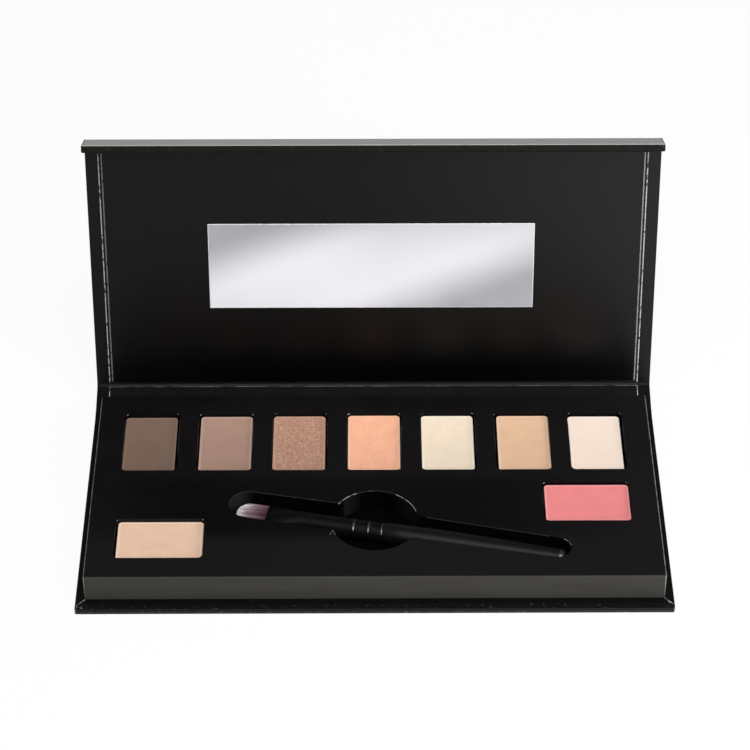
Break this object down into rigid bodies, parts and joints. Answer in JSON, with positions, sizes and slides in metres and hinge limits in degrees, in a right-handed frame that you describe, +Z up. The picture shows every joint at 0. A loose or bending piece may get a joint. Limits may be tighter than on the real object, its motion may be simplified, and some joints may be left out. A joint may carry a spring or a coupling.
{
  "type": "eyeshadow palette",
  "caption": "Book-style eyeshadow palette: wrapped board case with a hinged spine, mirrored lid and closing flap, pressed powders in tin pans and a brush in a slotted tray.",
  "frame": {"origin": "centre of the base board's underside", "axes": "+X to the user's right, +Y away from the user towards the spine, +Z up out of the deck"},
  "size_m": [0.19, 0.1253, 0.1],
  "materials": {
    "black_wrap_paper": "satin black coated wrap paper",
    "greyboard": "raw grey pressed board",
    "tray_core": "die-cut black core board",
    "tin": "drawn tinplate",
    "magnet": "nickel plated magnet",
    "mirror_glass": "silvered glass",
    "tape": "double-sided tape",
    "brush_lacquer": "satin black lacquered wood",
    "ferrule_metal": "black anodised aluminium",
    "bristle_hair": "synthetic hair, burgundy with white tips",
    "eyeshadow_1_shade": "matte dark taupe pressed powder",
    "eyeshadow_2_shade": "matte mauve taupe pressed powder",
    "eyeshadow_3_shade": "glittering bronze pressed powder",
    "eyeshadow_4_shade": "shimmering peach pressed powder",
    "eyeshadow_5_shade": "shimmering champagne pressed powder",
    "eyeshadow_6_shade": "satin tan pressed powder",
    "eyeshadow_7_shade": "satin pale pink-beige pressed powder",
    "blush_shade": "satin coral pink pressed powder",
    "concealer_shade": "creamy peach-beige pressed powder"
  },
  "bodies": {
    "base": {"base_board": "greyboard", "base_cover": "black_wrap_paper", "rear_crease_paper": "black_wrap_paper", "tray_floor_card": "tray_core", "tray_lower_layer": "tray_core", "tray_upper_layer": "tray_core", "tray_cover": "black_wrap_paper", "tray_magnets": "magnet", "eyeshadow_1_pan": "tin", "eyeshadow_1_powder": "eyeshadow_1_shade", "eyeshadow_2_pan": "tin", "eyeshadow_2_powder": "eyeshadow_2_shade", "eyeshadow_3_pan": "tin", "eyeshadow_3_powder": "eyeshadow_3_shade", "eyeshadow_4_pan": "tin", "eyeshadow_4_powder": "eyeshadow_4_shade", "eyeshadow_5_pan": "tin", "eyeshadow_5_powder": "eyeshadow_5_shade", "eyeshadow_6_pan": "tin", "eyeshadow_6_powder": "eyeshadow_6_shade", "eyeshadow_7_pan": "tin", "eyeshadow_7_powder": "eyeshadow_7_shade", "blush_pan": "tin", "blush_powder": "blush_shade", "concealer_pan": "tin", "concealer_powder": "concealer_shade", "brush_handle": "brush_lacquer", "brush_ferrule": "ferrule_metal", "brush_bristles": "bristle_hair"},
    "spine": {"spine_board": "greyboard", "spine_cover": "black_wrap_paper", "spine_liner": "black_wrap_paper", "lid_crease_paper": "black_wrap_paper"},
    "lid": {"lid_board": "greyboard", "lid_cover": "black_wrap_paper", "lid_liner": "black_wrap_paper", "lid_panel": "black_wrap_paper", "mirror_tape": "tape", "mirror": "mirror_glass", "flap_crease_paper": "black_wrap_paper"},
    "flap": {"flap_board": "greyboard", "flap_cover": "black_wrap_paper", "flap_liner": "black_wrap_paper", "flap_magnets": "magnet"}
  },
  "joints": [
    {"name": "spine_hinge", "type": "hinge", "parent": "base", "child": "spine", "pos_m": [0, 0.048, 0.001], "axis": [-1, 0, 0], "range_deg": [-75, 15], "deforming": ["rear_crease_paper"]},
    {"name": "lid_hinge", "type": "hinge", "parent": "spine", "child": "lid", "pos_m": [0, 0.06056, 0.00436], "axis": [-1, 0, 0], "range_deg": [-26, 64], "deforming": ["lid_crease_paper"]},
    {"name": "flap_hinge", "type": "hinge", "parent": "lid", "child": "flap", "pos_m": [0, 0.07807, 0.09448], "axis": [-1, 0, 0], "range_deg": [-13.4, 76.6], "deforming": ["flap_crease_paper"]}
  ]
}
